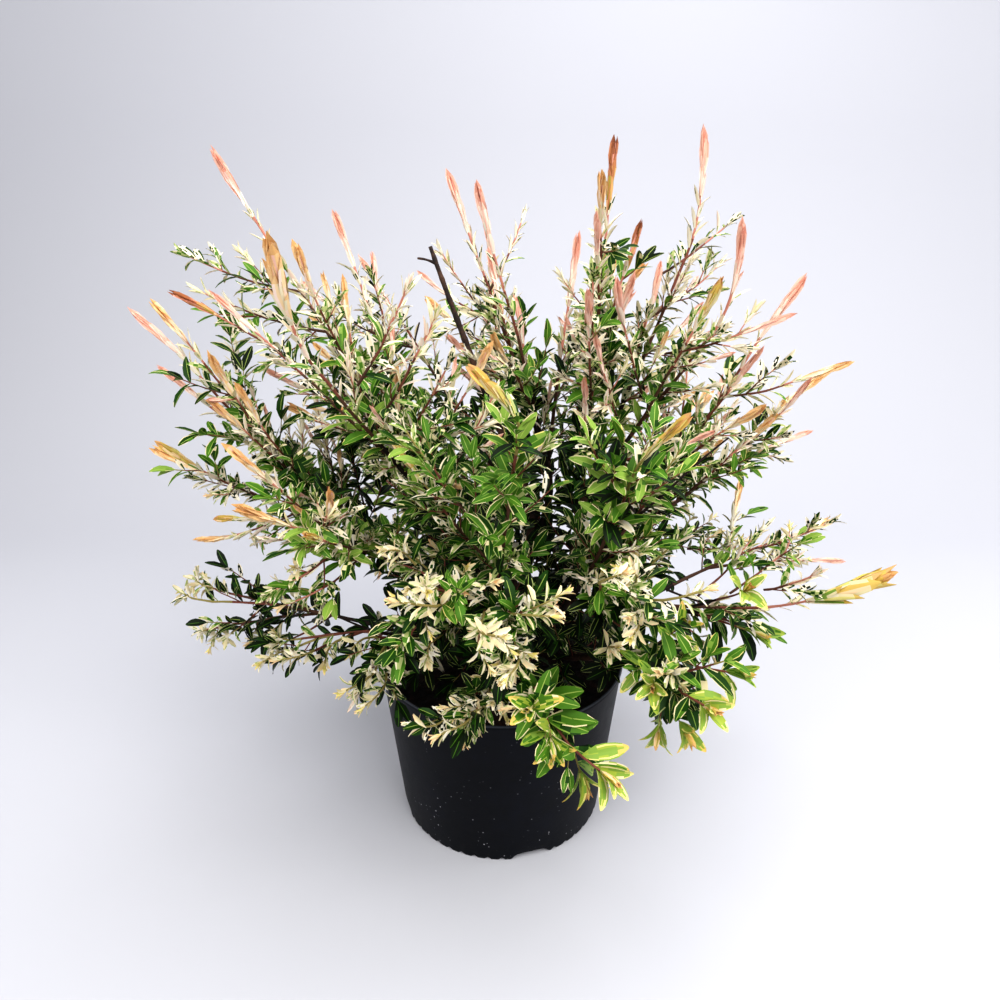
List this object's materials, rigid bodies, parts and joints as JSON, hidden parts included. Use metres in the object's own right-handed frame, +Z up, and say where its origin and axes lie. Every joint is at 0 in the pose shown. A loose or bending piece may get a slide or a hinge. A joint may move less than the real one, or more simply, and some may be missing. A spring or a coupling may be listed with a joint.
{
  "type": "potted willow shrub",
  "caption": "Bushy young willow shrub with dappled green, cream and pink leaves, growing in a round black plastic nursery pot.",
  "frame": {"origin": "middle of the pot's flat underside, on the floor", "axes": "+Z up along the pot's axis; -Y towards the side that the picture shows; +X to that view's right"},
  "size_m": [0.7801, 0.6903, 0.7495],
  "materials": {
    "pot_plastic": "satin black, thin blow-moulded plastic",
    "soil": "dark loose potting soil",
    "bark": "dark brown young bark",
    "leaves": "soft leaves, green and cream, pink at the shoot tips"
  },
  "bodies": {
    "root": {"pot": "pot_plastic", "soil": "soil", "stool": "bark", "stem_middle": "bark", "stem_cut": "bark", "bough_centre": "bark", "stem_right": "bark", "bough_right_high": "bark", "bough_left": "bark", "bough_back_high": "bark", "bough_front": "bark", "bough_front_right": "bark", "bough_far_left": "bark", "bough_right": "bark", "bough_low_left": "bark", "bough_low_front": "bark", "bough_low_right": "bark", "bough_back_right": "bark", "bough_back_left": "bark", "foliage_left_top": "leaves", "foliage_left_near_top": "leaves", "foliage_left_tall": "leaves", "foliage_centre_left": "leaves", "foliage_centre": "leaves", "foliage_centre_far": "leaves", "foliage_right_top": "leaves", "foliage_right_tall": "leaves", "foliage_right_upper": "leaves", "foliage_right_lean": "leaves", "foliage_right_far": "leaves", "foliage_left_far": "leaves", "foliage_left_mid": "leaves", "foliage_left_near": "leaves", "foliage_front_top": "leaves", "foliage_front_left": "leaves", "foliage_front_mid": "leaves", "foliage_right_near": "leaves", "foliage_front_right": "leaves", "foliage_right_side": "leaves", "foliage_right_mid": "leaves", "foliage_low_right": "leaves", "foliage_back_top": "leaves", "foliage_back_right_top": "leaves", "foliage_back_left_top": "leaves", "foliage_back_right": "leaves", "foliage_low_back_side": "leaves", "foliage_low_back_right": "leaves", "foliage_back": "leaves", "foliage_back_left": "leaves", "foliage_low_back": "leaves", "foliage_low_back_left": "leaves", "foliage_low_left": "leaves", "foliage_low_left_near": "leaves", "foliage_rim_left": "leaves", "foliage_rim_front": "leaves", "foliage_rim_right": "leaves", "foliage_low_right_near": "leaves", "foliage_low_right_side": "leaves"}
  },
  "joints": []
}
